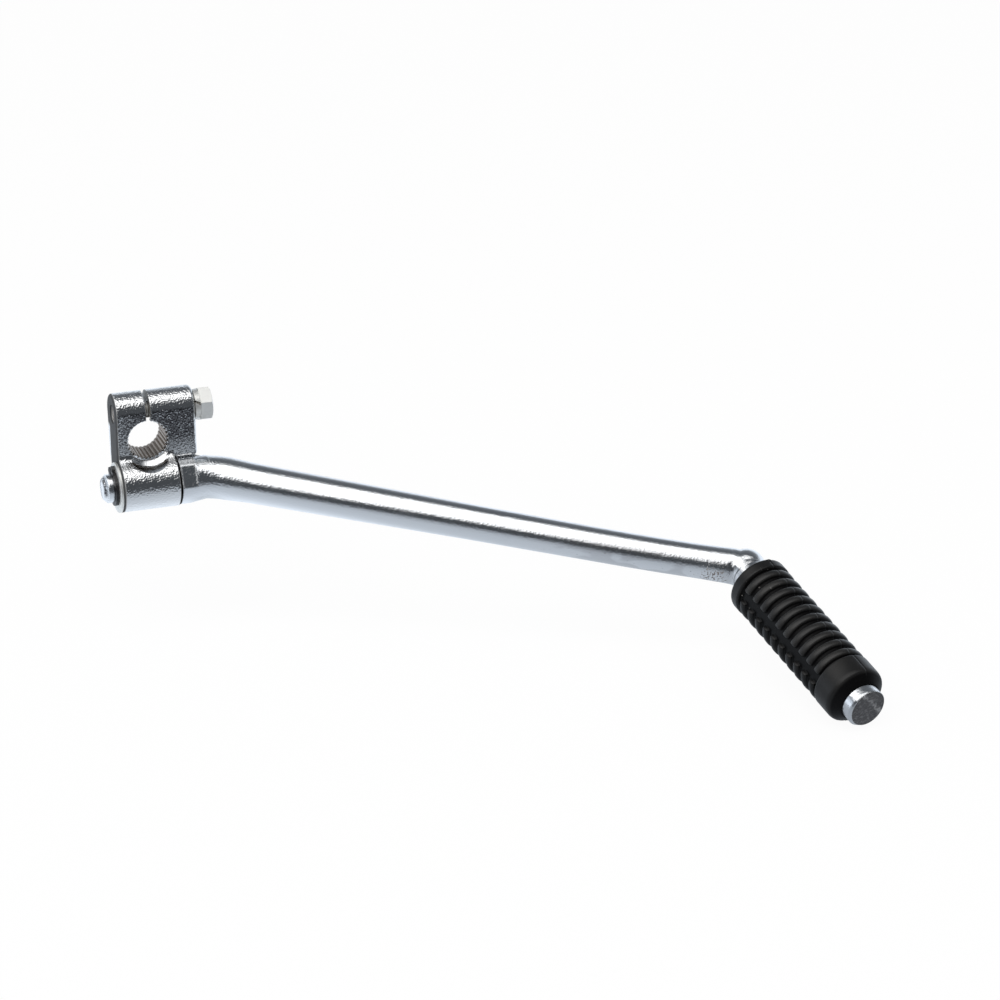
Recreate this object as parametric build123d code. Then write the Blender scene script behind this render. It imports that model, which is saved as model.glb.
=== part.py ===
from build123d import *
import os
from math import cos, radians, sin, tan

# Frame: origin in the middle of the serrated bore, bore axis along Y with the
# outer face at -Y, X along the fold pivot from the boss to the arm, Z up to the slit.

# Clamp block
block_left = -10.2
block_right = 16.0
thickness = 12.3
ear_height = 8.5
claw_bottom = -7.1
back_slope = 2.4
hub_radius = 8.9
edge_round = 1.3
left_round = 0.9
root_round = 2.6

# Serrated bore and clamp
tooth_count = 30
tooth_tip_radius = 6.1
tooth_root_radius = 6.7
notch_mouth = 0.76
notch_floor = 0.26
slit_width = 1.6
slit_centre = 0.5
lead_in = 1.1
spot_face_radius = 8.7
spot_face_round = 2.4

# Pivot
pivot_y = -6.6
pivot_z = -14.45
barrel_radius = 8.1
barrel_left = -10.2
barrel_right = 8.2
pin_radius = 4.6
pin_clearance = 0.05
pin_end = -15.6
fold_angle = 100.0
washer_thickness = 1.0
clip_thickness = 1.0
clip_left = -12.32
clip_radius = 5.7
lug_radius = 1.25

# Detent in the pin's cross hole
ball_radius = 2.0
ball_clearance = 0.03
detent_x = -0.8
detent_depth = 0.4
detent_floor = 3.2
spring_wire = 0.4
spring_mean_radius = 1.5
spring_turns = 3

# Pinch bolt, waisted where it crosses the bore
bolt_y = -1.4
bolt_z = 8.55
bolt_radius = 2.98
bolt_waist_radius = 2.4
bolt_head_width = 10.0
bolt_head_height = 4.0
bolt_head_turn = 38.0
lock_washer_radius = 4.9
lock_washer_thickness = 1.6

# Arm, drawn flat and then turned about the pivot
arm_tilt = 16.5
collar_left = 9.0
collar_right = 14.4
collar_radius = 7.2
heel_offset = 1.0
heel_end = 12.6
heel_taper_end = 19.0
heel_taper_radius = 6.5
stop_front = 1.5
top_flat = 7.08
top_flat_tilt = 20.0
front_flat = 6.2
front_flat_tilt = 61.0
flat_end = 14.2
neck_length = 4.5
neck_radius = 7.0
bend_bar_radius = 6.9
rod_angle = 28.0
rod_bend_radius = 22.0
root_length = 8.0
rod_root_radius = 6.48
rod_waist_radius = 5.7
rod_tip_radius = 5.5
taper_length = 70.5
waist_length = 42.0
sweep_radius = 700.0
sweep_angle = 2.6
tip_length = 11.0
peg_angle = 80.0
elbow_radius = 7.5
elbow_bar_radius = 5.75
knuckle_radius = 6.25
knuckle_offset = 1.0

# Peg and rubber
rubber_start = 8.75
rib_start = 4.3
rib_count = 10
rib_pitch = 4.5
rubber_length = 60.4
end_cone_length = 2.5
end_cone_radius = 9.2
rubber_bore = 5.6
rib_radius = 9.75
rib_width = 3.3
valley_radius = 8.8
end_band_radius = 9.95
strip_radius = 4.0
strip_turn = -8.0
head_radius = 6.5
head_seat = 4.0
head_length = 8.3

os.makedirs("parts", exist_ok=True)


def across_x(radius, x_from, x_to, y=0.0, z=0.0):
    plane = Plane(origin=(x_from, y, z), x_dir=(0, 1, 0), z_dir=(1, 0, 0))
    return extrude(plane * Circle(radius), x_to - x_from)


def across_y(radius, y_from, y_to):
    plane = Plane(origin=(0, y_from, 0), x_dir=(1, 0, 0), z_dir=(0, 1, 0))
    return extrude(plane * Circle(radius), y_to - y_from)


def slab(x, y, z):
    size = (x[1] - x[0], y[1] - y[0], z[1] - z[0])
    centre = ((x[0] + x[1]) / 2, (y[0] + y[1]) / 2, (z[0] + z[1]) / 2)
    return Pos(*centre) * Box(*size)


def yz_prism(outline, x_from, x_to):
    plane = Plane(origin=(x_from, 0, 0), x_dir=(0, 1, 0), z_dir=(1, 0, 0))
    return extrude(plane * make_face(outline), x_to - x_from)


def cone_along(start, direction, length, radius_from, radius_to):
    near = Plane(start, z_dir=direction) * Circle(radius_from)
    far = Plane(start + direction * length, z_dir=direction) * Circle(radius_to)
    return loft([near, far])


# Boss: block with a round top, a back that leans towards the barrel, and the claw
half = thickness / 2
top_arc = ThreePointArc((-half, ear_height), (0, ear_height + half), (half, ear_height))
claw_back = half - back_slope * (ear_height - claw_bottom) / (ear_height - pivot_z)
claw_outline = [
    Line((-half, claw_bottom), (-half, ear_height)),
    top_arc,
    Line((half, ear_height), (claw_back, claw_bottom)),
    Line((claw_back, claw_bottom), (-half, claw_bottom)),
]
claw = yz_prism(claw_outline, 0, block_right)
right_rim = claw.faces().sort_by(Axis.X)[-1].edges()
claw_edge = claw.edges().filter_by(Axis.X).group_by(Axis.Z)[0].sort_by(Axis.Y)[0]
claw = fillet(list(right_rim) + [claw_edge], edge_round)

body_outline = [
    Line((-half, pivot_z), (-half, ear_height)),
    top_arc,
    Line((half, ear_height), (claw_back, claw_bottom)),
    Line((claw_back, claw_bottom), (pivot_y + barrel_radius, pivot_z)),
    Line((pivot_y + barrel_radius, pivot_z), (-half, pivot_z)),
]
body = yz_prism(body_outline, block_left, barrel_right)
left_rim = body.faces().sort_by(Axis.X)[0].edges().sort_by(Axis.Z)[1:]
body = fillet(left_rim, left_round)
barrel = across_x(barrel_radius, barrel_left, barrel_right, pivot_y, pivot_z)

# Concave fillet where the front face runs into the barrel
reach = barrel_radius + root_round
drop = -half - root_round - pivot_y
root_z = pivot_z + (reach**2 - drop**2) ** 0.5
touch_y = pivot_y + drop * barrel_radius / reach
touch_z = pivot_z + (root_z - pivot_z) * barrel_radius / reach
root_fill = [
    RadiusArc((-half, root_z), (touch_y, touch_z), root_round),
    Polyline((touch_y, touch_z), (pivot_y, pivot_z + 6), (1 - half, root_z), (-half, root_z)),
]
root = yz_prism(root_fill, block_left + 0.3, barrel_right)
boss = body + claw + barrel + root + across_y(hub_radius, 0, half)

# Bore, slit, spot face in the barrel's bulge, bolt hole and pin bore
notch_depth = tooth_root_radius - tooth_tip_radius + 0.2
notch = make_face(
    Polyline(
        (tooth_root_radius - notch_depth, -notch_mouth / 2 - 0.05),
        (tooth_root_radius, -notch_floor / 2),
        (tooth_root_radius, notch_floor / 2),
        (tooth_root_radius - notch_depth, notch_mouth / 2 + 0.05),
        close=True,
    )
)
serration = Circle(tooth_tip_radius) + PolarLocations(0, tooth_count) * notch
bore_plane = Plane(origin=(0, -2 * thickness, 0), x_dir=(1, 0, 0), z_dir=(0, 1, 0))
boss -= extrude(bore_plane * serration, 4 * thickness)
spot_face = across_y(spot_face_radius, -4 * thickness, -half)
spot_face = fillet(spot_face.edges().sort_by(Axis.Y)[-1], spot_face_round)
boss -= spot_face
lead_slope = (tooth_root_radius + 0.05 - tooth_tip_radius) / lead_in
lead_reach = 2 * lead_in
for side in (1, -1):
    outward = Vector(0, side, 0)
    lead_start = outward * (half - lead_in)
    lead_mouth = tooth_tip_radius + lead_reach * lead_slope
    boss -= cone_along(lead_start, outward, lead_reach, tooth_tip_radius, lead_mouth)
slit_x = (slit_centre - slit_width / 2, slit_centre + slit_width / 2)
boss -= slab(slit_x, (-thickness, thickness), (0, 2 * thickness))
boss -= across_x(bolt_radius + 0.03, block_left - 1, 0, bolt_y, bolt_z)
boss -= across_x(bolt_radius + 0.27, 0, block_right + 1, bolt_y, bolt_z)
bore_radius = pin_radius + pin_clearance
boss -= across_x(bore_radius, barrel_left - 1, barrel_right + 1, pivot_y, pivot_z)
groove_centre = bore_radius + detent_depth - ball_radius - 0.05
for turn in (0.0, fold_angle):
    groove_y = pivot_y + groove_centre * sin(radians(turn))
    groove_z = pivot_z + groove_centre * cos(radians(turn))
    boss -= across_x(ball_radius + 0.05, barrel_left - 1, barrel_right + 1, groove_y, groove_z)
export_step(boss, "parts/boss.step")

# Arm's bar in its own flat frame, outward along -Y
bend = JernArc((collar_right, 0, 0), (1, 0, 0), rod_bend_radius, -rod_angle)
bar = sweep(Plane(bend @ 0, z_dir=bend % 0) * Circle(bend_bar_radius), bend)


rod_dir = bend % 1
rod_start = bend @ 1
bar += cone_along(bend @ 0, bend % 0, neck_length, neck_radius, bend_bar_radius)
bar += cone_along(rod_start, rod_dir, root_length, bend_bar_radius, rod_root_radius)
taper_start = rod_start + rod_dir * root_length
bar += cone_along(taper_start, rod_dir, taper_length, rod_root_radius, rod_waist_radius)
waist_start = taper_start + rod_dir * taper_length
bar += cone_along(waist_start, rod_dir, waist_length, rod_waist_radius, rod_tip_radius)
curve_start = waist_start + rod_dir * waist_length
curve = JernArc(curve_start, rod_dir, sweep_radius, sweep_angle)
bar += sweep(Plane(curve @ 0, z_dir=curve % 0) * Circle(rod_tip_radius), curve)
tip_dir = curve % 1
tip_start = curve @ 1
bar += cone_along(tip_start, tip_dir, tip_length, rod_tip_radius, elbow_bar_radius)
elbow_start = tip_start + tip_dir * tip_length
elbow_turn = peg_angle - rod_angle + sweep_angle
elbow = JernArc(elbow_start, tip_dir, elbow_radius, -elbow_turn)
bar += sweep(Plane(elbow @ 0, z_dir=elbow % 0) * Circle(elbow_bar_radius), elbow)

corner = elbow_start + tip_dir * (elbow_radius * tan(radians(elbow_turn / 2)))
knuckle = corner + tip_dir * knuckle_offset
bar += Pos(knuckle) * Sphere(knuckle_radius)
peg_dir = elbow % 1
boss_side = Vector(-sin(radians(peg_angle)), -cos(radians(peg_angle)), 0)
peg_frame = Plane(corner, x_dir=boss_side, z_dir=peg_dir)
rubber_end = rubber_start + rubber_length
elbow_end = elbow_radius * tan(radians(elbow_turn / 2))
peg_outline = Polyline(
    (0, elbow_end - 0.5),
    (rubber_bore - 0.05, elbow_end - 0.5),
    (rubber_bore - 0.05, rubber_end - head_seat),
    (head_radius, rubber_end - head_seat),
    (head_radius, rubber_end - head_seat + head_length - 1.2),
    (head_radius - 0.9, rubber_end - head_seat + head_length),
    (0, rubber_end - head_seat + head_length),
    close=True,
)
peg = revolve(Plane.XZ * make_face(peg_outline), Axis.Z)
cut_height = rubber_end - head_seat + head_length
shear_size = 4 * head_radius
shear = Rot(4, -3, 0) * (Pos(0, 0, shear_size / 2 - 0.4) * Box(shear_size, shear_size, shear_size))
peg -= Pos(0, 0, cut_height) * shear
bar += peg_frame * peg

# Pin, collar and heel share the pivot; the heel's flat meets the claw at rest
turned = Pos(0, pivot_y, pivot_z) * Rot(X=arm_tilt) * bar
wide = 4 * collar_radius
pin_body = across_x(pin_radius, pin_end, collar_right, pivot_y, pivot_z)
pin_body = chamfer(pin_body.edges().sort_by(Axis.X)[0], 1.3)
collar = across_x(collar_radius, collar_left, collar_right, pivot_y, pivot_z)
collar &= slab((0, wide), (pivot_y - wide, pivot_y + wide), (pivot_z, pivot_z + wide))
heel_radius = collar_radius + heel_offset
heel = across_x(heel_radius, collar_left, heel_end, pivot_y + heel_offset, pivot_z)
heel_rim = Plane((heel_end, pivot_y + heel_offset, pivot_z), x_dir=(0, 1, 0), z_dir=(1, 0, 0))
neck_drift = (heel_taper_end - collar_right) ** 2 / (2 * rod_bend_radius)
neck_y = pivot_y - neck_drift * cos(radians(arm_tilt))
neck_z = pivot_z - neck_drift * sin(radians(arm_tilt))
neck_rim = Plane((heel_taper_end, neck_y, neck_z), x_dir=(0, 1, 0), z_dir=(1, 0, 0))
heel += loft([heel_rim * Circle(heel_radius), neck_rim * Circle(heel_taper_radius)])
low_half = slab((0, wide), (pivot_y - wide, pivot_y + wide), (pivot_z - wide, pivot_z))
stop_face = claw_bottom - 0.05
back_half = slab((0, wide), (pivot_y + stop_front, pivot_y + wide), (pivot_z - 1, stop_face))
collar += heel & (low_half + back_half)
flat_back = stop_front - 0.1
flat_x = (collar_left - 1, flat_end)
top_cut = slab(flat_x, (-wide, flat_back), (top_flat, wide))
front_cut = slab(flat_x, (-wide, wide), (front_flat, wide))
lever_arm = turned + pin_body + collar
lever_arm -= Pos(0, pivot_y, pivot_z) * Rot(X=top_flat_tilt) * top_cut
lever_arm -= Pos(0, pivot_y, pivot_z) * Rot(X=front_flat_tilt) * front_cut

groove_radius = pin_radius - 0.35
groove_left = clip_left - 0.05
groove_right = clip_left + clip_thickness + 0.05
groove_ring = across_x(pin_radius + 1, groove_left, groove_right, pivot_y, pivot_z)
groove_ring -= across_x(groove_radius, groove_left - 1, groove_right + 1, pivot_y, pivot_z)
lever_arm -= groove_ring
cross_plane = Plane((detent_x, pivot_y, pivot_z - detent_floor), z_dir=(0, 0, 1))
lever_arm -= extrude(cross_plane * Circle(ball_radius + 0.05), detent_floor + pin_radius + 1)
export_step(lever_arm, "parts/lever_arm.step")

# Rubber sleeve: plain bands at both ends and crowned ribs between them
first_valley = rib_start
last_valley = rib_start + rib_count * rib_pitch
cone_start = rubber_length - end_cone_length
shoulder_radius = valley_radius + (rib_radius - valley_radius) * 0.75
seat_radius = head_radius + 0.1
seat_floor = rubber_length - head_seat - 0.05
sleeve_edges = [
    Line((rubber_bore, 0), (end_band_radius - 0.8, 0)),
    ThreePointArc(
        (end_band_radius - 0.8, 0),
        (end_band_radius - 0.234, 0.234),
        (end_band_radius, 0.8),
    ),
    Line((end_band_radius, 0.8), (end_band_radius, first_valley - 0.9)),
    Line((end_band_radius, first_valley - 0.9), (valley_radius, first_valley)),
]
for rib in range(rib_count):
    low = first_valley + rib * rib_pitch
    foot = low + (rib_pitch - rib_width) / 2
    rib_outline = Polyline(
        (valley_radius, low),
        (valley_radius, foot),
        (shoulder_radius, foot + rib_width * 0.2),
        (rib_radius, foot + rib_width * 0.5),
        (shoulder_radius, foot + rib_width * 0.8),
        (valley_radius, foot + rib_width),
        (valley_radius, low + rib_pitch),
    )
    sleeve_edges += [rib_outline]
sleeve_edges += [
    Line((valley_radius, last_valley), (end_band_radius, last_valley + 0.9)),
    Line((end_band_radius, last_valley + 0.9), (end_band_radius, cone_start - 1.5)),
    ThreePointArc(
        (end_band_radius, cone_start - 1.5),
        (end_band_radius - 0.18, cone_start - 0.6),
        (end_cone_radius, cone_start),
    ),
    Line((end_cone_radius, cone_start), (seat_radius, rubber_length)),
    Line((seat_radius, rubber_length), (seat_radius, seat_floor)),
    Line((seat_radius, seat_floor), (rubber_bore, seat_floor)),
    Line((rubber_bore, seat_floor), (rubber_bore, 0)),
]
sleeve = revolve(Plane.XZ * make_face(sleeve_edges), Axis.Z)
strip_reach = valley_radius + strip_radius
for side in (1, -1):
    strip = extrude(Pos(side * strip_reach, 0) * Circle(strip_radius), last_valley - first_valley)
    sleeve -= Pos(0, 0, first_valley) * Rot(Z=strip_turn) * strip
seated = peg_frame * (Pos(0, 0, rubber_start) * sleeve)
pedal_rubber = Pos(0, pivot_y, pivot_z) * Rot(X=arm_tilt) * seated
export_step(pedal_rubber, "parts/pedal_rubber.step")

# Pinch bolt with its lock washer under the head
head_left = block_right + lock_washer_thickness + 0.05
head_plane = Plane((head_left, bolt_y, bolt_z), x_dir=(0, 1, 0), z_dir=(1, 0, 0))
hexagon = RegularPolygon(bolt_head_width / 2, 6, major_radius=False, rotation=bolt_head_turn)
head = extrude(head_plane * hexagon, bolt_head_height)
crown = extrude(head_plane * Circle(bolt_head_width * 0.575), bolt_head_height)
crown = chamfer(crown.edges().sort_by(Axis.X)[-1], 0.5, 0.9)
bolt_tip = block_left + 0.6
shank = across_x(bolt_radius, bolt_tip, head_left + 0.5, bolt_y, bolt_z)
shank = chamfer(shank.edges().sort_by(Axis.X)[0], 0.6)
waist_half = tooth_root_radius - 1.2
waist_ring = across_x(bolt_radius + 1, -waist_half, waist_half, bolt_y, bolt_z)
waist_ring -= across_x(bolt_waist_radius, -waist_half - 1, waist_half + 1, bolt_y, bolt_z)
pinch_bolt = (head & crown) + (shank - waist_ring)
export_step(pinch_bolt, "parts/pinch_bolt.step")

washer_left = block_right + 0.02
washer_right = washer_left + lock_washer_thickness
spring_washer = across_x(lock_washer_radius, washer_left, washer_right, bolt_y, bolt_z)
spring_washer -= across_x(bolt_radius + 0.15, washer_left - 1, washer_right + 1, bolt_y, bolt_z)
split = Box(6 * lock_washer_thickness, lock_washer_radius, lock_washer_thickness / 2)
split = Rot(X=-25) * Pos(0, -lock_washer_radius, 0) * Rot(Y=30) * split
spring_washer -= Pos((washer_left + washer_right) / 2, bolt_y, bolt_z) * split
export_step(spring_washer, "parts/spring_washer.step")

# Washer and circlip on the pin's free end
seat = barrel_left - 0.03
pivot_washer = across_x(barrel_radius, seat - washer_thickness, seat, pivot_y, pivot_z)
pivot_washer -= across_x(pin_radius + 0.2, seat - 3, seat + 1, pivot_y, pivot_z)
washer_rims = pivot_washer.edges().filter_by(GeomType.CIRCLE).sort_by(SortBy.RADIUS)[-2:]
pivot_washer = chamfer(washer_rims, 0.2)
export_step(pivot_washer, "parts/pivot_washer.step")

clip_plane = Plane((clip_left, pivot_y, pivot_z), x_dir=(0, 1, 0), z_dir=(1, 0, 0))
ring = Circle(clip_radius) - Circle(groove_radius + 0.02)
lug = Pos(0, clip_radius + 0.2) * Circle(lug_radius)
lug_hole = Pos(0, clip_radius + 0.3) * Circle(lug_radius / 2)
gap = Pos(0, clip_radius) * Rectangle(2.2, clip_radius)
clip = ring - gap
for side in (1, -1):
    clip += Rot(Z=side * 17) * lug
clip -= Circle(groove_radius + 0.02)
clip -= Pos(0, clip_radius) * Rectangle(0.9, 1.4 * clip_radius)
for side in (1, -1):
    clip -= Rot(Z=side * 17) * lug_hole
circlip = extrude(clip_plane * (Rot(Z=-25) * clip), clip_thickness)
export_step(circlip, "parts/circlip.step")

# Detent ball level with the bore's land, and its square wire spring below
ball_z = pivot_z + bore_radius - ball_clearance - ball_radius
detent_ball = Pos(detent_x, pivot_y, ball_z) * Sphere(ball_radius)
export_step(detent_ball, "parts/detent_ball.step")

spring_base = pivot_z - detent_floor + 0.05 + spring_wire / 2
spring_height = ball_z - ball_radius * 0.62 - spring_base - spring_wire / 2 - 0.1
coil = Helix(spring_height / spring_turns, spring_height, spring_mean_radius)
coil = Pos(detent_x, pivot_y, spring_base) * coil
detent_spring = sweep(Plane(coil @ 0, z_dir=coil % 0) * Rectangle(spring_wire, spring_wire), coil)
export_step(detent_spring, "parts/detent_spring.step")
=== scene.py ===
import math
import bpy
import numpy as np
from mathutils import Matrix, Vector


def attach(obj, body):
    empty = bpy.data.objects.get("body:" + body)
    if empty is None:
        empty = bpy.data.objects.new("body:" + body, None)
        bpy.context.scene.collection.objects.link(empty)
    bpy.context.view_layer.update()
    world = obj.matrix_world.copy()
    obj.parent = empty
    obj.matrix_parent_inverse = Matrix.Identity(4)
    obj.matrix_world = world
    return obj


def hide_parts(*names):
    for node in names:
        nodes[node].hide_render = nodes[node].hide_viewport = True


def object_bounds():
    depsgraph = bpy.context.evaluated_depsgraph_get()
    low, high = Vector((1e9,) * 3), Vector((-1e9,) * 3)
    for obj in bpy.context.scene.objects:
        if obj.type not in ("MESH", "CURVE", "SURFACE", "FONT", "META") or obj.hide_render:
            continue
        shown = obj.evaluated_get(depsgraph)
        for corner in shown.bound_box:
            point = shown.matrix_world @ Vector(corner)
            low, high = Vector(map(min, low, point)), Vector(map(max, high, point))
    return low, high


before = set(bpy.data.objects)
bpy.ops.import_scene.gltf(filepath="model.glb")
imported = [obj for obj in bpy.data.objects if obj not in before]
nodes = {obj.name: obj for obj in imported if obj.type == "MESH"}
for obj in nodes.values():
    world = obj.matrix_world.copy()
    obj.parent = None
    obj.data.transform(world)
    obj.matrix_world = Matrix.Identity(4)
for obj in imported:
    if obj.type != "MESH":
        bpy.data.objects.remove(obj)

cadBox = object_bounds()
scene = bpy.context.scene
scene.view_settings.view_transform = "Standard"
toMm = 1000.0  # the frame is in metres; places and sizes in the dictionaries are mostly millimetres
print("frame: %d solids" % len(nodes))


class Link:
    # a socket in a node tree; sums on it add Math nodes
    def __init__(self, net, socket):
        self.net = net
        self.socket = socket

    def other(self, name):
        return Link(self.net, self.socket.node.outputs[name])

    def __add__(self, value):
        return self.net.maths("ADD", self, value)

    def __radd__(self, value):
        return self.net.maths("ADD", value, self)

    def __sub__(self, value):
        return self.net.maths("SUBTRACT", self, value)

    def __rsub__(self, value):
        return self.net.maths("SUBTRACT", value, self)

    def __mul__(self, value):
        return self.net.maths("MULTIPLY", self, value)

    def __rmul__(self, value):
        return self.net.maths("MULTIPLY", value, self)

    def __truediv__(self, value):
        return self.net.maths("DIVIDE", self, value)

    def __rtruediv__(self, value):
        return self.net.maths("DIVIDE", value, self)

    def __pow__(self, value):
        return self.net.maths("POWER", self, value)

    def __rpow__(self, value):
        return self.net.maths("POWER", value, self)


class Net:
    # one node tree, emptied, with the few nodes that the finishes use
    def __init__(self, tree):
        self.tree = tree
        tree.nodes.clear()

    def node(self, kind, settings=None, sockets=None, out=0):
        made = self.tree.nodes.new("ShaderNode" + kind)
        for name, value in (settings or {}).items():
            if name == "stops":
                ramp = made.color_ramp.elements
                for i, (place, colour) in enumerate(value):
                    stop = ramp[i] if i < 2 else ramp.new(place)  # a new ramp has two stops
                    stop.position = place
                    stop.color = colour
            else:
                setattr(made, name, value)
        for key, value in (sockets or {}).items():
            if isinstance(value, Link):
                self.tree.links.new(value.socket, made.inputs[key])
            else:
                made.inputs[key].default_value = value
        return Link(self, made.outputs[out]) if made.outputs else None

    def maths(self, operation, *values):
        return self.node("Math", {"operation": operation}, dict(enumerate(values)))

    def vector(self, operation, *values, out=0):
        given = [v if isinstance(v, Link) else tuple(v) for v in values]
        return self.node("VectorMath", {"operation": operation}, dict(enumerate(given)), out)

    def place(self):
        return self.node("TexCoord", out="Object")

    def axes(self, vector):
        first = self.node("SeparateXYZ", None, {0: vector})
        return first, first.other(1), first.other(2)

    def axesInMm(self, vector):
        return self.axes(self.stretch(vector, (toMm, toMm, toMm)))

    def ease(self, value, low, high):
        # 0 at low, 1 at high, smooth between
        settings = {"interpolation_type": "SMOOTHSTEP", "clamp": True}
        return self.node("MapRange", settings, {0: value, 1: low, 2: high, 3: 0.0, 4: 1.0})

    def until(self, value, low, high):
        # 1 at low, 0 at high, smooth between
        return 1.0 - self.ease(value, low, high)

    def bell(self, value, sharpness):
        # 1 where the value is 0, falling off to both sides with its square
        return self.maths("EXPONENT", value * value * -sharpness)

    def grain(self, vector, scale, detail=2.0, rough=0.5):
        sockets = {"Vector": vector, "Scale": scale, "Detail": detail, "Roughness": rough}
        return self.node("TexNoise", None, sockets)

    def dimples(self, vector, scale, soft=0.35):
        # shallow round hollows side by side: the squared distance to the nearest of scattered points
        sockets = {"Vector": vector, "Scale": scale, "Smoothness": soft}
        apart = self.node("TexVoronoi", {"feature": "SMOOTH_F1"}, sockets)
        return apart * apart

    def along(self, vector, direction):
        return self.vector("DOT_PRODUCT", vector, direction, out="Value")

    def away(self, vector, point):
        return self.vector("DISTANCE", vector, point, out="Value")

    def stretch(self, vector, scale):
        return self.vector("MULTIPLY", vector, scale)

    def tint(self, factor, first, second):
        return self.node("Mix", {"data_type": "RGBA"}, {0: factor, 6: first, 7: second}, 2)

    def roundEdges(self, radius, samples=6):
        return self.node("Bevel", {"samples": samples}, {"Radius": radius})

    def bump(self, height, depth, under=None):
        sockets = {"Strength": 1.0, "Distance": depth, "Height": height}
        if under:
            sockets["Normal"] = under
        return self.node("Bump", None, sockets)

    def surface(self, sockets):
        shader = self.node("BsdfPrincipled", None, sockets)
        self.node("OutputMaterial", None, {"Surface": shader})


def finish(name):
    material = bpy.data.materials.new(name)
    material.use_nodes = True
    return material, Net(material.node_tree)


def rgb(red, green, blue):
    return (red, green, blue, 1.0)


def grey(value, tint=(1, 1, 1)):
    return rgb(*(value * c for c in tint))


def dress(material, *names):
    for name in names:
        mesh = nodes[name].data
        mesh.materials.clear()
        mesh.materials.append(material)


def unit(vector):
    vector = np.array(vector, float)
    return vector / np.linalg.norm(vector)


def setPlace(made, across, upward, back, at):
    # the object's own three directions and where it stands
    columns = np.column_stack([across, upward, back, at])
    made.matrix_world = Matrix(np.vstack([columns, [0, 0, 0, 1]]).tolist())
    scene.collection.objects.link(made)


def addMesh(name, points, faces, material, smooth=True):
    mesh = bpy.data.meshes.new(name)
    mesh.from_pydata(points.reshape(-1, 3).tolist(), [], faces.reshape(-1, 4).tolist())
    mesh.polygons.foreach_set("use_smooth", np.full(len(mesh.polygons), smooth))
    mesh.update()
    made = bpy.data.objects.new(name, mesh)
    mesh.materials.append(material)
    scene.collection.objects.link(made)
    return made


def ringFaces(rows, columns):
    # quads of a grid that closes on itself both ways
    row = np.arange(rows)[:, None]
    column = np.arange(columns)[None, :]
    nextRow = (row + 1) % rows
    nextColumn = (column + 1) % columns
    corners = (row, column), (row, nextColumn), (nextRow, nextColumn), (nextRow, column)
    return np.stack([a * columns + b for a, b in corners], -1)


# camera: where the photograph was taken from, with its long lens; angles in degrees
camera = dict(eye=(-0.2272, -1.0216, 0.4044), turn=18.77, drop=22.34, roll=-0.18, lens=126.0, sensor=36.0)


def addCamera(v):
    turn, drop, roll = (math.radians(v[k]) for k in ("turn", "drop", "roll"))
    right = np.array([math.cos(turn), -math.sin(turn), 0])
    level = np.array([-math.sin(turn), -math.cos(turn), 0])
    back = level * math.cos(drop) + np.array([0, 0, math.sin(drop)])
    up = np.cross(back, right)
    across = math.cos(roll) * right + math.sin(roll) * up
    upward = math.cos(roll) * up - math.sin(roll) * right
    lens = bpy.data.cameras.new("camera")
    lens.sensor_width = v["sensor"]
    lens.lens = v["lens"]
    made = bpy.data.objects.new("camera", lens)
    setPlace(made, across, upward, back, v["eye"])
    scene.camera = made


addCamera(camera)
print("camera set")


# studio: a large soft light overhead, a dim room behind the camera, a white far wall, pale paper
# wall and paper give a tone at each height of view and at each place from the front to the back
studio = dict(
    keyTone=1.9, keyFront=(1.05, 0.30), keyBack=(0.42, -0.14), keyLeft=(-1.7, -0.95),
    frontSlant=(0.75, 0.8), backSlant=0.55, lowestView=0.02,
    dimTone=0.075, wallFrom=(-0.35, 0.3), tint=(0.92, 1.0, 1.10),
    wall=((0.0, 1.1), (0.25, 0.92), (0.36, 0.62), (0.46, 0.32), (0.6, 0.17), (0.8, 0.13), (0.95, 0.12)),
    paper=(
        (-0.70, 0.055), (-0.40, 0.09), (-0.21, 0.24), (-0.128, 0.48), (-0.09, 0.57),
        (-0.06, 0.61), (-0.04, 0.66), (-0.025, 0.75), (-0.015, 0.82), (0.01, 1.0)),
    paperTone=0.95, paperHalf=4.0, paperBelow=0.0003, shadowShare=0.05, ambient=0.30,
    keyWay=(-0.30, -0.45, 0.84), keyFar=2.6, keySize=2.8, keyPower=60.0,
    fillWay=(0.6, -0.5, 0.8), fillFar=3.0, fillSize=2.4, fillPower=12.0,
)


def lightWorld(v):
    world = bpy.data.worlds.new("studio")
    world.use_nodes = True
    scene.world = world
    net = Net(world.node_tree)
    x, y, z = net.axes(net.node("TexCoord", out="Generated"))
    # the soft light is a slanted window in a ceiling one unit up
    height = net.maths("MAXIMUM", z, v["lowestView"])
    right, far = x / height, y / height
    front = right * v["frontSlant"][0] - far * v["frontSlant"][1]
    key = net.ease(front, *v["keyFront"]) * net.ease(far + right * v["backSlant"], *v["keyBack"])
    key = key * net.ease(right, *v["keyLeft"])
    # the far wall: white at the horizon, darker above
    wall = net.node("ValToRGB", {"stops": [(p, grey(t, v["tint"])) for p, t in v["wall"]]}, {0: z})
    shown = net.tint(net.ease(y, *v["wallFrom"]), grey(v["dimTone"], v["tint"]), wall)
    shown = net.tint(key, shown, grey(v["keyTone"]))
    ray = net.node("LightPath", out="Is Camera Ray")
    white = net.node("Background", None, {0: grey(1), 1: 1.0})
    mirrored = net.node("Background", None, {0: shown, 1: 1.0})
    soft = net.node("Background", None, {0: grey(1), 1: v["ambient"]})
    under = net.node("MixShader", None, {0: ray.other("Is Glossy Ray"), 1: soft, 2: mirrored})
    seen = net.node("MixShader", None, {0: ray + ray.other("Is Transmission Ray"), 1: under, 2: white})
    net.node("OutputWorld", None, {"Surface": seen})


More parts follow.
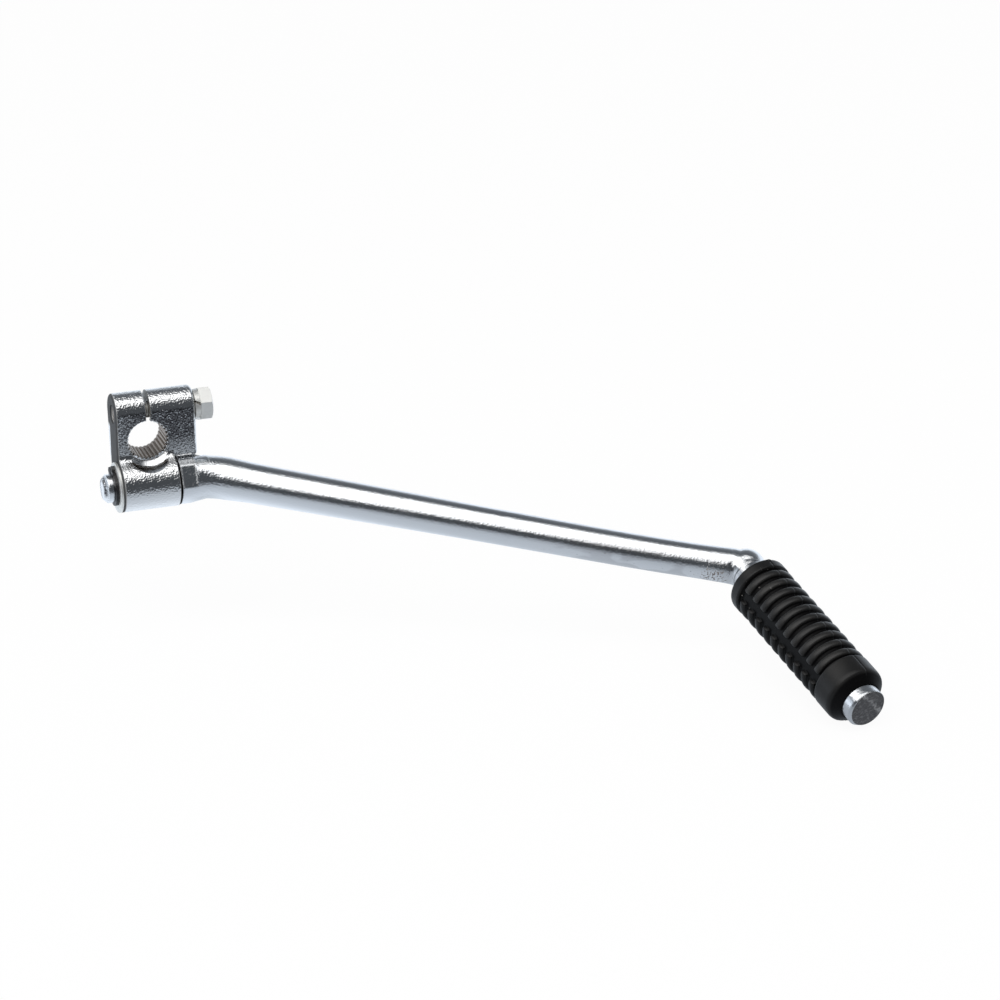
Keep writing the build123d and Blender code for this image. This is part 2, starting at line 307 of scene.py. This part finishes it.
def addLamp(name, way, distance, size, power):
    lamp = bpy.data.lights.new(name, "AREA")
    lamp.shape = "DISK"
    lamp.size = size
    lamp.energy = power
    made = bpy.data.objects.new(name, lamp)
    way = unit(way)
    side = unit(np.cross((0, 1, 0), way))
    setPlace(made, side, np.cross(way, side), way, way * distance)
    made.visible_glossy = False  # the world shows the soft light in the chrome


def addFloor(v):
    material, net = finish("paperFloor")
    fromFront = net.axes(net.place())[1]
    # painted light: for the chrome's reflections the paper glows, bright under the lever, darker towards the
    # dim room
    first, last = v["paper"][0][0], v["paper"][-1][0]
    stops = [((p - first) / (last - first), grey(t, v["tint"])) for p, t in v["paper"]]
    mirrored = net.node("ValToRGB", {"stops": stops}, {0: (fromFront - first) / (last - first)})
    ray = net.node("LightPath", out="Is Camera Ray")
    paper = net.node("BsdfDiffuse", None, {0: grey(v["paperTone"])})
    white = net.node("Emission", None, {0: grey(1), 1: 1.0})
    glow = net.node("Emission", None, {0: mirrored, 1: 1.0})
    seen = net.node("MixShader", None, {0: 1.0 - v["shadowShare"], 1: paper, 2: white})
    under = net.node("MixShader", None, {0: ray.other("Is Glossy Ray"), 1: paper, 2: glow})
    shader = net.node("MixShader", None, {0: ray + ray.other("Is Transmission Ray"), 1: under, 2: seen})
    net.node("OutputMaterial", None, {"Surface": shader})
    material.cycles.emission_sampling = "NONE"
    corners = np.array([[-1, -1], [1, -1], [1, 1], [-1, 1]]) * v["paperHalf"]
    points = np.column_stack([corners, np.full(4, cadBox[0].z - v["paperBelow"])])
    addMesh("floor", points, np.array([[0, 1, 2, 3]]), material, False)


lightWorld(studio)
for lamp in ("key", "fill"):
    addLamp(lamp + "Light", *(studio[lamp + word] for word in ("Way", "Far", "Size", "Power")))
addFloor(studio)
print("studio lit")


# the arm's own directions, in degrees: its flat plane leans back, and the rod and the peg lie in it
arm = dict(tilt=16.5, rodAngle=28.0, pegAngle=80.0)
tilt = math.radians(arm["tilt"])
lean = np.array([[1, 0, 0], [0, math.cos(tilt), -math.sin(tilt)], [0, math.sin(tilt), math.cos(tilt)]])


def armWay(angle):
    turn = math.radians(angle)
    return lean @ [math.cos(turn), -math.sin(turn), 0]


rodWay = armWay(arm["rodAngle"])
pegWay = armWay(arm["pegAngle"])
pegSide = armWay(arm["pegAngle"] + 90)
pegDown = np.cross(pegWay, pegSide)


def nodePoints(name):
    mesh = nodes[name].data
    points = np.empty(len(mesh.vertices) * 3)
    mesh.vertices.foreach_get("co", points)
    return points.reshape(-1, 3)


def middle(values):
    return (values.min() + values.max()) / 2


# the peg's middle line: where it enters the rubber, and where the cropped end stops it
rubberPoints = nodePoints("pedal_rubber")
rubberStart = pegWay * (rubberPoints @ pegWay).min()
for way in (pegSide, pegDown):
    rubberStart = rubberStart + way * middle(rubberPoints @ way)
pegMiddle = rubberStart + pegWay * ((nodePoints("lever_arm") @ pegWay).max() - rubberStart @ pegWay)


# rubber sleeve, in millimetres along the peg and out from it; turns in degrees
sleeve = dict(
    length=60.4, bore=5.6, band=9.95, valley=8.5, bandEdge=0.75, edgeSoft=0.2, shoulder=0.5,
    rib=9.85, ribWidth=3.0, ribStart=4.3, ribPitch=4.5, ribs=10, ribEnd=0.9, ribSquare=3, ribCrown=0.5,
    stripTurn=-14.0, stripHalf=1.75,
    seat=6.6, seatFloor=56.35, coneStart=57.9, coneRadius=9.2, coneEdge=1.5, coneSoft=(0.6, 0.18),
    seamTurn=-104.0, seamDeep=0.13, seamWide=0.26, seamStep=0.10, stepFade=12,
    nubHigh=0.55, nubAt=0.9, nubLong=0.45, nubWide=0.6,
    cornerSoft=0.25, cornerSteps=9, outerFrom=0.5, outerTo=3.0,
    # how finely it is cut up; the rows of a rib are at shares of its pitch
    around=290, startRows=32, endRows=48, boreRows=16,
    footAt=0.04, sideAt=0.17, sideSpread=0.1, sideRows=8, topAt=0.32, topRows=5,
)


def fromLine(turn, line):
    # the angle from the nearer of two lines on opposite sides of the peg
    return np.mod(turn - math.radians(line) + math.pi / 2, math.pi) - math.pi / 2


def addSleeve(v, material):
    # the profile is a closed loop of radius and length, carried round the peg
    ribsTo = v["ribStart"] + v["ribs"] * v["ribPitch"]
    softBack, softIn = v["coneSoft"]
    corners = np.array([
        (v["bore"], 0.0), (v["band"] - v["bandEdge"], 0.0), (v["band"] - v["edgeSoft"], v["edgeSoft"]),
        (v["band"], v["bandEdge"]), (v["band"], v["ribStart"] - v["shoulder"]),
        (v["valley"], v["ribStart"]), (v["valley"], ribsTo),
        (v["band"], ribsTo + v["shoulder"]), (v["band"], v["coneStart"] - v["coneEdge"]),
        (v["band"] - softIn, v["coneStart"] - softBack), (v["coneRadius"], v["coneStart"]),
        (v["seat"], v["length"]), (v["seat"], v["seatFloor"]), (v["bore"], v["seatFloor"]), (v["bore"], 0.0)])
    reach = np.concatenate([[0], np.cumsum(np.hypot(*np.diff(corners, axis=0).T))])
    toRibs, pastRibs, toMouth, allRound = reach[[5, 6, 11, -1]]  # at these corners of the loop
    # rows crowd on the ribs' steep sides
    foot, side, top = v["footAt"], v["sideAt"], v["topAt"]
    steep = np.linspace(-v["sideSpread"], v["sideSpread"], v["sideRows"])
    crown = np.linspace(top, 1 - top, v["topRows"])
    phases = np.concatenate([[0.0, foot], side + steep, crown, 1 - side + steep, [1 - foot]])
    ribRows = (np.arange(v["ribs"])[:, None] + phases[None, :]).ravel() * v["ribPitch"] + toRibs
    at = np.concatenate([
        np.linspace(0, toRibs, v["startRows"], endpoint=False), ribRows,
        np.linspace(pastRibs, toMouth, v["endRows"], endpoint=False),
        np.linspace(toMouth, allRound, v["boreRows"], endpoint=False)])
    # corners are softened by averaging the loop over a short length
    spread = np.linspace(-v["cornerSoft"], v["cornerSoft"], v["cornerSteps"])
    wrapped = (at[:, None] + spread[None, :]) % allRound
    radius = np.interp(wrapped, reach, corners[:, 0]).mean(1)
    length = np.interp(wrapped, reach, corners[:, 1]).mean(1)
    turn = np.linspace(0, 2 * math.pi, v["around"], endpoint=False)
    isOuter = (at > v["outerFrom"]) & (at < toMouth - v["outerTo"])
    # ribs: squared-off ellipses along the peg whose ends stop beside the two plain strips
    ribPlace = (length - v["ribStart"]) / v["ribPitch"]
    inRibs = isOuter & (ribPlace > 0) & (ribPlace < v["ribs"])
    q = ((ribPlace % 1.0) - 0.5) * v["ribPitch"] / (v["ribWidth"] / 2)
    beside = np.abs(fromLine(turn, v["stripTurn"])) * v["rib"] - v["stripHalf"]
    p = np.clip(1 - beside / v["ribEnd"], 0, 2)
    dome = 1 - np.abs(q[:, None]) ** v["ribSquare"] - p[None, :] ** v["ribSquare"]
    rise = np.clip(dome, 0, 1) ** v["ribCrown"] * (v["rib"] - v["valley"]) * inRibs[:, None]
    # the mould's parting line: a fine groove down both sides, with a small step beside it
    across = fromLine(turn, v["seamTurn"]) * v["band"] / v["seamWide"]
    seam = v["seamDeep"] * np.exp(-across ** 2)
    step = v["seamStep"] * np.exp(-np.clip(-across, 0, None) / v["stepFade"]) * (across < 0)
    rise = rise - (seam + step)[None, :] * isOuter[:, None]
    # a nub of flash at the rod end of one of those sides
    fromNub = np.angle(np.exp(1j * (turn - math.radians(v["seamTurn"])))) * v["band"]
    nubAlong = (length[:, None] - v["nubAt"]) / v["nubLong"]
    nub = np.exp(-nubAlong ** 2 - (fromNub[None, :] / v["nubWide"]) ** 2)
    rise = rise + v["nubHigh"] * nub * isOuter[:, None]
    r = (radius[:, None] + rise) / toMm
    ring = np.cos(turn)[None, :, None] * pegSide + np.sin(turn)[None, :, None] * pegDown
    points = rubberStart + pegWay * (length / toMm)[:, None, None] + ring * r[:, :, None]
    made = addMesh("pedal_sleeve", points, ringFaces(len(at), v["around"]), material)
    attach(made, "arm_body")
    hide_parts("pedal_rubber")


# moulded rubber: matt in the valleys with painted shade darkening them to near black, rubbed to a low sheen
# on the ribs, a few pale specks near the rod
rubberLook = dict(
    valleyShade=rgb(0.0022, 0.0021, 0.0023), rubbed=rgb(0.0085, 0.0082, 0.0083), worn=rgb(0.0145, 0.0138, 0.0132),
    dust=rgb(0.20, 0.19, 0.18), valleyShadeEdge=(8.9, 9.55), ribsFrom=(-0.5, 0.3), ribsTo=(-0.3, 0.7),
    upperFrom=(-2.0, 4.0), lowerDull=0.75, bandSheen=0.65,
    patchScale=120.0, wornFrom=(0.35, 0.7), speckScale=900.0, speckFrom=(0.735, 0.76), specksTo=(4.0, 16.0),
    rough=0.27, roughPatches=0.18, skinScale=2600.0, skinDepth=0.00002,
    specular=0.12, sheen=0.62, sheenRough=0.42,
)


def mouldedRubber(v):
    material, net = finish("mouldedRubber")
    place = net.place()
    along = (net.along(place, pegWay) - float(rubberStart @ pegWay)) * toMm
    patches = net.grain(place, v["patchScale"], detail=3.0)
    # ribs stand further from the peg's middle line than the valleys, which get painted shade
    fromStart = net.vector("SUBTRACT", place, rubberStart)
    radius = net.vector("LENGTH", net.vector("CROSS_PRODUCT", fromStart, pegWay), out="Value") * toMm
    crestSheenValleyShade = net.ease(radius, *v["valleyShadeEdge"])
    # the ribs' tone and sheen are lowered on their lower side, and lowered on the plain bands
    firstRib, lastRib = sleeve["ribStart"], sleeve["ribStart"] + sleeve["ribs"] * sleeve["ribPitch"]
    ribbed = net.ease(along, *(firstRib + t for t in v["ribsFrom"]))
    ribbed = ribbed * net.until(along, *(lastRib + t for t in v["ribsTo"]))
    below = net.until(net.along(fromStart, -pegDown) * toMm, *v["upperFrom"])
    crestSheenValleyShade = crestSheenValleyShade * (1.0 - ribbed * below * v["lowerDull"])
    crestSheenValleyShade = crestSheenValleyShade * (v["bandSheen"] + ribbed * (1.0 - v["bandSheen"]))
    colour = net.tint(net.ease(patches, *v["wornFrom"]), v["rubbed"], v["worn"])
    # painted shade: the valleys are tinted near black, the crests keep the rubbed tone
    colour = net.tint(crestSheenValleyShade, v["valleyShade"], colour)
    specks = net.ease(net.grain(place, v["speckScale"], detail=1.0), *v["speckFrom"])
    colour = net.tint(specks * net.until(along, *v["specksTo"]), colour, v["dust"])
    net.surface({
        "Base Color": colour, "Roughness": v["rough"] + patches * v["roughPatches"],
        "Normal": net.bump(net.grain(place, v["skinScale"]), v["skinDepth"]),
        "Specular IOR Level": v["specular"],
        "Coat Weight": crestSheenValleyShade * v["sheen"], "Coat Roughness": v["sheenRough"]})
    return material


addSleeve(sleeve, mouldedRubber(rubberLook))
print("sleeve moulded")


# chrome over a cast boss: grainy skin, dark in the flat, bare broached teeth, a dull machined end
# the pairs say where each part of the boss fades in, in millimetres, or from what tone of the grain
bossLook = dict(
    bright=rgb(0.80, 0.805, 0.81), flatDark=rgb(0.12, 0.12, 0.125), flatBright=rgb(0.62, 0.63, 0.64),
    gapShade=rgb(0.012, 0.012, 0.012), sawn=rgb(0.26, 0.26, 0.25), endFace=rgb(0.055, 0.057, 0.06),
    bare=rgb(0.40, 0.33, 0.27), bareDark=rgb(0.17, 0.145, 0.12),
    boreEdge=(6.72, 6.8), boreFront=(-5.25, -5.0), castFrom=(2.2, 3.0), castTop=(2.5, 4.5),
    endEdge=(-9.85, -9.35), slitAt=0.5, slitHalf=(0.82, 0.90), slitFoot=(6.0, 6.5),
    flatEdge=(-6.13, -5.95), flatFoot=(-8.5, 2.0), gapEdge=(8.0, 8.15), gapTop=(-7.4, -7.2),
    spotEdge=(8.5, 9.2), spotTop=(-4.5, -3.5), dishRadius=8.1, dishDeep=3.2,
    paleEdge=(-10.0, -2.0), paleBy=0.14, paleLess=0.03, paleFrom=(0.44, 0.70),
    grainSize=0.5, dimpleSize=0.58, coarseScale=420.0, streakScale=2600.0, streakLong=0.06,
    grainShare=0.6, coarseShare=0.4, grainDepth=0.000095, flatGrain=1.7, spotCalm=0.75, endCalm=0.9,
    turnedPitch=0.55, turnedDeep=0.10, edgeRadius=0.0006,
    rough=0.07, roughCoarse=0.06, roughBore=0.2, roughEnd=0.6, roughGap=0.4, roughSlit=0.35,
    endMatt=0.9, slitMatt=0.5,
)


def castChrome(v):
    material, net = finish("castChrome")
    place = net.place()
    x, y, z = net.axesInMm(place)
    fromBore = (x * x + z * z) ** 0.5
    bore = net.until(fromBore, *v["boreEdge"]) * net.ease(y, *v["boreFront"])
    castBack = net.ease(y, *v["castFrom"]) * net.until(z, *v["castTop"])
    endFace = net.until(x, *v["endEdge"]) * (1.0 - castBack)
    slit = net.until(net.maths("ABSOLUTE", x - v["slitAt"]), *v["slitHalf"]) * net.ease(z, *v["slitFoot"])
    flat = net.until(y, *v["flatEdge"]) * net.ease(z, *v["flatFoot"])
    gap = net.ease(x, *v["gapEdge"]) * net.until(z, *v["gapTop"])
    belowBore = net.until(z, *v["spotTop"])
    grain = net.grain(place, toMm / v["grainSize"], rough=0.6)
    coarse = net.grain(place, v["coarseScale"])
    cells = net.dimples(place, toMm / v["dimpleSize"])
    paler = net.until(x, *v["paleEdge"]) * v["paleBy"] - v["paleLess"]
    skin = net.tint(net.ease(grain + paler, *v["paleFrom"]), v["flatDark"], v["flatBright"])
    colour = net.tint(flat, v["bright"], skin)
    colour = net.tint(endFace, colour, v["endFace"])
    streaks = net.grain(net.stretch(place, (1.0, v["streakLong"], 1.0)), v["streakScale"])
    colour = net.tint(bore, colour, net.tint(streaks, v["bareDark"], v["bare"]))
    colour = net.tint(slit, colour, v["sawn"])
    # painted shade: near black at the boss's right end below the claw, in the narrow gap beside the arm's
    # collar
    colour = net.tint(gap, colour, v["gapShade"])
    metal = (1.0 - endFace * v["endMatt"]) * (1.0 - gap) * (1.0 - slit * v["slitMatt"])
    roughness = v["rough"] + coarse * v["roughCoarse"] + bore * v["roughBore"]
    roughness = roughness + endFace * v["roughEnd"] + gap * v["roughGap"] + slit * v["roughSlit"]
    # the spot face below the bore is smoother, with turned rings
    turned = net.until(fromBore, *v["spotEdge"]) * belowBore
    rings = net.maths("SINE", fromBore * (2 * math.pi / v["turnedPitch"]))
    height = grain * v["grainShare"] + coarse * v["coarseShare"] + cells
    height = height * (1.0 - turned * v["spotCalm"]) + rings * turned * v["turnedDeep"]
    height = height * (1.0 - bore) * (1.0 - endFace * v["endCalm"]) * (1.0 + flat * (v["flatGrain"] - 1.0))
    # it is also dished, with the square of the way in from its rim
    dish = net.maths("MAXIMUM", v["dishRadius"] - fromBore, 0.0)
    height = height - dish * dish * v["dishDeep"] * belowBore * (1.0 - bore)
    normal = net.bump(height, v["grainDepth"], net.roundEdges(v["edgeRadius"]))
    net.surface({"Base Color": colour, "Metallic": metal, "Roughness": roughness, "Normal": normal})
    return material


# chrome bar: brighter and smoother than the boss, stained along its lower side, rust specks near the elbow,
# a forging crease at the knuckle, a rough neck and a cropped, dull end
barLook = dict(
    bright=rgb(0.80, 0.815, 0.835), stained=rgb(0.68, 0.685, 0.70), rust=rgb(0.085, 0.055, 0.038),
    gapShade=rgb(0.012, 0.012, 0.012), cropped=rgb(0.10, 0.10, 0.105), torn=rgb(0.42, 0.42, 0.43),
    dullNeckShade=rgb(0.52, 0.53, 0.54),
    grainSize=0.6, dimpleSize=0.62, patchScale=90.0, grainShare=0.6, patchShare=0.6,
    grainDepth=0.000029, edgeRadius=0.0010,
    rough=0.15, roughPatches=0.06, roughFrom=(0.4, 0.75), roughEnd=0.30, roughRust=0.4, roughGap=0.4,
    rustMatt=0.8, endMatt=0.4,
    # stains, pits and rust
    lowerSide=(-0.43, -0.78, -0.42), lowerFrom=(7.0, 9.5), stainsAlong=(95.0, 135.0),
    stainShape=(0.4, 0.4, 0.8), stainScale=160.0, stainFrom=(0.47, 0.53),
    pitScale=1300.0, pitFrom=(0.74, 0.77), pitShare=0.6,
    rustSpot=(0.1625, -0.0835, -0.0390), rustReach=(0.001, 0.008), rustScale=1500.0, rustMore=0.12,
    rustFrom=(0.66, 0.72),
    # neck and crease
    neckFrom=(9.6, 16.0), neckTo=(17.0, 26.0), neckLower=(4.0, 9.0), lumpScale=380.0, lumpDeep=3.5,
    creaseAt=191.8, creaseWander=1.2, creaseSharp=0.8, creaseDeep=5.5,
    # cropped end: its slant, the ragged crease across it and the painted highlight along it
    endSlant=(0.0525, 0.07), endFrom=(-0.56, -0.47), upRight=(0.75, 0.66), raggedAt=2.4, raggedScale=500.0,
    raggedBy=4.0, ridgeSharp=6.0, creaseGlintShare=0.75, tornFrom=(-0.4, 0.4), tornHigh=18.0,
    scratchShape=(0.6, 1.0, 1.0), scratchScale=1400.0, scratchFrom=(0.45, 0.75), scratchShare=0.35,
    scratchDeep=16.0,
    # pin: its middle line and domed end, the painted shade on its rim, and the painted shade in the gap where
    # it runs in the boss
    pinAt=(-6.6, -14.45), pinTip=(-15.2, -14.2), pinDome=1.2, rimShadeFrom=(4.0, 9.0), rimShadeUp=(-13.2, -11.0),
    rimShadeLean=0.35, rimShadeGrain=(0.35, 0.55), gapFrom=(-9.9, -9.7), gapTo=(9.02, 9.1),
)


def barChrome(v):
    material, net = finish("barChrome")
    place = net.place()
    x, y, z = net.axesInMm(place)
    grain = net.grain(place, toMm / v["grainSize"], rough=0.55)
    cells = net.dimples(place, toMm / v["dimpleSize"])
    patches = net.grain(place, v["patchScale"], detail=3.0)
    # stains and pits along the lower side of the rod
    down = net.along(place, unit(v["lowerSide"])) * toMm
    lower = net.ease(down, *v["lowerFrom"]) * net.ease(x, *v["stainsAlong"])
    stains = net.grain(net.stretch(place, v["stainShape"]), v["stainScale"], rough=0.4)
    colour = net.tint(net.ease(stains, *v["stainFrom"]) * lower, v["bright"], v["stained"])
    pits = net.ease(net.grain(place, v["pitScale"], detail=1.0), *v["pitFrom"]) * lower
    colour = net.tint(pits * v["pitShare"], colour, v["rust"])
    nearRust = net.until(net.away(place, v["rustSpot"]), *v["rustReach"])
    rust = net.ease(net.grain(place, v["rustScale"]) + nearRust * v["rustMore"], *v["rustFrom"]) * nearRust
    colour = net.tint(rust, colour, v["rust"])
    # the forged neck is duller underneath: a duller forged skin, with painted shade on its lower side
    neck = net.until(x, *v["neckTo"]) * net.ease(x, *v["neckFrom"])
    colour = net.tint(neck * net.ease(y - z, *v["neckLower"]), colour, v["dullNeckShade"])
    # the cropped end: dark rough shear, raised torn metal above a ragged crease, paler scratches and a
    # painted highlight along the crease
    fromEnd = net.vector("SUBTRACT", place, pegMiddle)
    endWay = unit(pegWay - v["endSlant"][0] * pegSide - v["endSlant"][1] * pegDown)
    end = net.ease(net.along(fromEnd, endWay) * toMm, *v["endFrom"])
    upRight = net.along(fromEnd, -pegSide * v["upRight"][0] - pegDown * v["upRight"][1]) * toMm
    wander = (net.grain(place, v["raggedScale"], detail=3.0) - 0.5) * v["raggedBy"]
    ragged = upRight - v["raggedAt"] + wander
    ridge = net.bell(ragged, v["ridgeSharp"])
    torn = net.ease(ragged, *v["tornFrom"])
    scratch = net.grain(net.stretch(place, v["scratchShape"]), v["scratchScale"], detail=3.0)
    # painted highlight: the pale torn colour runs along the crease line, as well as on the scratches
    paler = net.ease(scratch, *v["scratchFrom"]) * v["scratchShare"] + ridge * v["creaseGlintShare"]
    colour = net.tint(end, colour, net.tint(paler, v["cropped"], v["torn"]))
    # painted shade: the upper rim of the pin's end is tinted dark in grainy patches
    offY, offZ = y - v["pinAt"][0], z - v["pinAt"][1]
    offPin = offY * offY + offZ * offZ
    pinTip = net.until(x, *v["pinTip"])
    paintedRimShade = net.ease(offPin, *v["rimShadeFrom"]) * pinTip * net.ease(z - y * v["rimShadeLean"], *v["rimShadeUp"])
    colour = net.tint(paintedRimShade * net.ease(grain, *v["rimShadeGrain"]), colour, v["cropped"])
    # painted shade: the pin is tinted black where it runs in the boss and across the gap beside it
    gap = net.ease(x, *v["gapFrom"]) * net.until(x, *v["gapTo"])
    colour = net.tint(gap, colour, v["gapShade"])
    roughness = v["rough"] + net.ease(patches, *v["roughFrom"]) * v["roughPatches"]
    roughness = roughness + end * v["roughEnd"] + rust * v["roughRust"] + gap * v["roughGap"]
    metal = (1.0 - rust * v["rustMatt"]) * (1.0 - gap) * (1.0 - end * v["endMatt"])
    # heights: the skin, lumps on the neck, the pin's domed end, the crease, the torn end, rust pits
    lumps = net.grain(place, v["lumpScale"])
    onRod = net.along(place, rodWay) * toMm - v["creaseAt"] + (lumps - 0.5) * v["creaseWander"]
    height = grain * v["grainShare"] + cells + patches * v["patchShare"]
    height = height + neck * (lumps * v["lumpDeep"] + cells)
    height = height - offPin * v["pinDome"] * pinTip
    height = height - net.bell(onRod, v["creaseSharp"]) * v["creaseDeep"]
    height = height + end * (scratch * v["scratchDeep"] + torn * v["tornHigh"]) - rust
    normal = net.bump(height, v["grainDepth"], net.roundEdges(v["edgeRadius"]))
    net.surface({"Base Color": colour, "Metallic": metal, "Roughness": roughness, "Normal": normal})
    return material


# pale zinc on the bolt and washers: cloudy, stained at the bolt's end and in its thread
zincLook = dict(
    pale=rgb(0.86, 0.86, 0.835), deep=rgb(0.72, 0.72, 0.695), stained=rgb(0.17, 0.12, 0.075),
    patchScale=500.0, fineScale=3000.0, fineDepth=0.00001, rough=0.34, roughPatches=0.2, metal=0.82,
    boltAt=(-1.4, 8.55), boltFoot=(4.0, 5.0), boltEnd=(-9.2, -8.2), stainFrom=(0.3, 0.6),
    shankEdge=(9.1, 9.3), pitch=1.0, threadHigh=14.0, threadStain=0.6,
)


def paleZinc(v):
    material, net = finish("paleZinc")
    place = net.place()
    x, y, z = net.axesInMm(place)
    patches = net.grain(place, v["patchScale"], detail=3.0)
    colour = net.tint(patches, v["deep"], v["pale"])
    onBolt = net.ease(z, *v["boltFoot"])
    boltEnd = net.until(x, *v["boltEnd"]) * onBolt
    colour = net.tint(boltEnd * net.ease(patches, *v["stainFrom"]), colour, v["stained"])
    # the bolt's thread: a ridge that climbs one pitch a turn round the bolt's middle line
    offY, offZ = y - v["boltAt"][0], z - v["boltAt"][1]
    turn = net.maths("ARCTAN2", offZ, offY)
    onShank = net.until(offY * offY + offZ * offZ, *v["shankEdge"]) * onBolt
    ridge = net.maths("SINE", x * (2 * math.pi / v["pitch"]) + turn)
    colour = net.tint(onShank * (0.5 - ridge * 0.5) * v["threadStain"], colour, v["stained"])
    height = net.grain(place, v["fineScale"]) + ridge * onShank * v["threadHigh"]
    net.surface({
        "Base Color": colour, "Metallic": v["metal"], "Roughness": v["rough"] + patches * v["roughPatches"],
        "Normal": net.bump(height, v["fineDepth"])})
    return material


# blackened spring steel, rubbed paler in patches
springLook = dict(
    black=rgb(0.035, 0.035, 0.037), worn=rgb(0.10, 0.10, 0.10), wornFrom=(0.5, 0.75), patchScale=700.0,
    rough=0.32, roughPatches=0.2, metal=0.7,
)


def blackSteel(v):
    material, net = finish("blackSteel")
    patches = net.grain(net.place(), v["patchScale"], detail=3.0)
    colour = net.tint(net.ease(patches, *v["wornFrom"]), v["black"], v["worn"])
    roughness = v["rough"] + patches * v["roughPatches"]
    net.surface({"Base Color": colour, "Metallic": v["metal"], "Roughness": roughness})
    return material


# polished ball, faintly hazy
ballLook = dict(
    deep=rgb(0.58, 0.58, 0.585), pale=rgb(0.66, 0.66, 0.665), hazeScale=900.0, rough=0.06, roughHaze=0.06,
    metal=1.0,
)


def ballSteel(v):
    material, net = finish("ballSteel")
    haze = net.grain(net.place(), v["hazeScale"])
    colour = net.tint(haze, v["deep"], v["pale"])
    roughness = v["rough"] + haze * v["roughHaze"]
    net.surface({"Base Color": colour, "Metallic": v["metal"], "Roughness": roughness})
    return material


dress(castChrome(bossLook), "boss")
dress(barChrome(barLook), "lever_arm")
dress(paleZinc(zincLook), "pinch_bolt", "spring_washer", "pivot_washer")
dress(blackSteel(springLook), "circlip", "detent_spring")
dress(ballSteel(ballLook), "detent_ball")
print("finishes applied")
